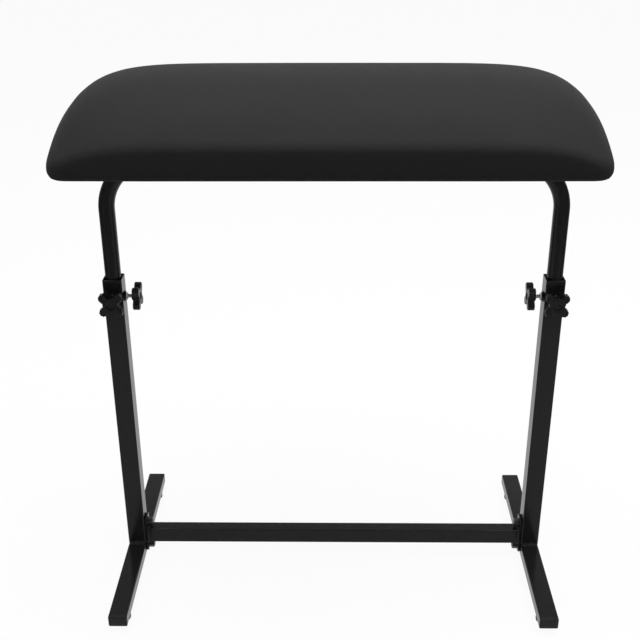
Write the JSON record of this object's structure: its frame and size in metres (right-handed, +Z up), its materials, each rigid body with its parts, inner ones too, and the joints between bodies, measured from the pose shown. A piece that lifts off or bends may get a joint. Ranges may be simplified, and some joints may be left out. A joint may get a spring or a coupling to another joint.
{
  "type": "manicure arm rest stand",
  "caption": "Height-adjustable arm rest stand: crowned leather cushion on an inverted-U tube that slides in square uprights with star-knob clamps, on foot tubes joined by a crossbar.",
  "frame": {"origin": "on the floor, midway between the four rubber feet", "axes": "+Z up, X along the cushion and the crossbar, the front with the front knobs faces -Y"},
  "size_m": [0.581, 0.311, 0.6552],
  "materials": {
    "powder_coat": "satin black powder coat on steel tube",
    "black_steel": "blackened steel bolt",
    "zinc": "bright zinc plating",
    "black_plastic": "moulded black plastic",
    "rubber": "matt black rubber",
    "leather": "fine-grained black synthetic leather",
    "foam": "open-cell upholstery foam",
    "plywood": "bare plywood",
    "dust_cloth": "black non-woven cloth"
  },
  "bodies": {
    "base": {"left_foot_tube": "powder_coat", "right_foot_tube": "powder_coat", "left_front_foot_cap": "black_plastic", "left_rear_foot_cap": "black_plastic", "right_front_foot_cap": "black_plastic", "right_rear_foot_cap": "black_plastic", "left_front_rubber_foot": "rubber", "left_rear_rubber_foot": "rubber", "right_front_rubber_foot": "rubber", "right_rear_rubber_foot": "rubber", "left_upright": "powder_coat", "right_upright": "powder_coat", "left_upright_front_weld": "powder_coat", "left_upright_rear_weld": "powder_coat", "right_upright_front_weld": "powder_coat", "right_upright_rear_weld": "powder_coat", "crossbar": "powder_coat", "left_crossbar_flange": "powder_coat", "right_crossbar_flange": "powder_coat", "left_upper_flange_bolt": "black_steel", "left_lower_flange_bolt": "black_steel", "right_upper_flange_bolt": "black_steel", "right_lower_flange_bolt": "black_steel", "left_upper_rivet_nut": "zinc", "left_lower_rivet_nut": "zinc", "right_upper_rivet_nut": "zinc", "right_lower_rivet_nut": "zinc", "left_front_clamp_nut": "zinc", "left_inner_clamp_nut": "zinc", "right_front_clamp_nut": "zinc", "right_inner_clamp_nut": "zinc"},
    "upper_frame": {"top_frame_tube": "powder_coat", "left_tube_plug": "black_plastic", "right_tube_plug": "black_plastic", "left_pad_plate": "powder_coat", "right_pad_plate": "powder_coat", "left_pad_screw_1": "zinc", "left_pad_screw_2": "zinc", "left_pad_screw_3": "zinc", "left_pad_screw_4": "zinc", "right_pad_screw_1": "zinc", "right_pad_screw_2": "zinc", "right_pad_screw_3": "zinc", "right_pad_screw_4": "zinc", "pad_board": "plywood", "pad_foam": "foam", "pad_cover": "leather", "pad_lining": "dust_cloth"},
    "left_front_stud": {"left_front_clamp_stud": "zinc"},
    "left_front_knob": {"left_front_clamp_knob": "black_plastic"},
    "left_inner_stud": {"left_inner_clamp_stud": "zinc"},
    "left_inner_knob": {"left_inner_clamp_knob": "black_plastic"},
    "right_front_stud": {"right_front_clamp_stud": "zinc"},
    "right_front_knob": {"right_front_clamp_knob": "black_plastic"},
    "right_inner_stud": {"right_inner_clamp_stud": "zinc"},
    "right_inner_knob": {"right_inner_clamp_knob": "black_plastic"}
  },
  "joints": [
    {"name": "height_slide", "type": "slide", "parent": "base", "child": "upper_frame", "axis": [0, 0, 1], "range_m": [-0.08, 0.18]},
    {"name": "left_front_advance", "type": "slide", "parent": "base", "child": "left_front_stud", "axis": [0, -1, 0], "range_m": [0, 0.0025]},
    {"name": "left_front_turn", "type": "hinge", "parent": "left_front_stud", "child": "left_front_knob", "pos_m": [-0.2625, -0.0207, 0.3823], "axis": [0, -1, 0], "range_deg": [0, 1080]},
    {"name": "left_inner_advance", "type": "slide", "parent": "base", "child": "left_inner_stud", "axis": [1, 0, 0], "range_m": [0, 0.0025]},
    {"name": "left_inner_turn", "type": "hinge", "parent": "left_inner_stud", "child": "left_inner_knob", "pos_m": [-0.2417, 0, 0.3823], "axis": [1, 0, 0], "range_deg": [0, 1080]},
    {"name": "right_front_advance", "type": "slide", "parent": "base", "child": "right_front_stud", "axis": [0, -1, 0], "range_m": [0, 0.0025]},
    {"name": "right_front_turn", "type": "hinge", "parent": "right_front_stud", "child": "right_front_knob", "pos_m": [0.2625, -0.0207, 0.3823], "axis": [0, -1, 0], "range_deg": [0, 1080]},
    {"name": "right_inner_advance", "type": "slide", "parent": "base", "child": "right_inner_stud", "axis": [-1, 0, 0], "range_m": [0, 0.0025]},
    {"name": "right_inner_turn", "type": "hinge", "parent": "right_inner_stud", "child": "right_inner_knob", "pos_m": [0.2417, 0, 0.3823], "axis": [-1, 0, 0], "range_deg": [0, 1080]}
  ],
  "couplings": [
    {"joint": "left_front_advance", "follows": "left_front_turn", "m_per_rad": 0.00012732},
    {"joint": "left_inner_advance", "follows": "left_inner_turn", "m_per_rad": 0.00012732},
    {"joint": "right_front_advance", "follows": "right_front_turn", "m_per_rad": 0.00012732},
    {"joint": "right_inner_advance", "follows": "right_inner_turn", "m_per_rad": 0.00012732}
  ]
}
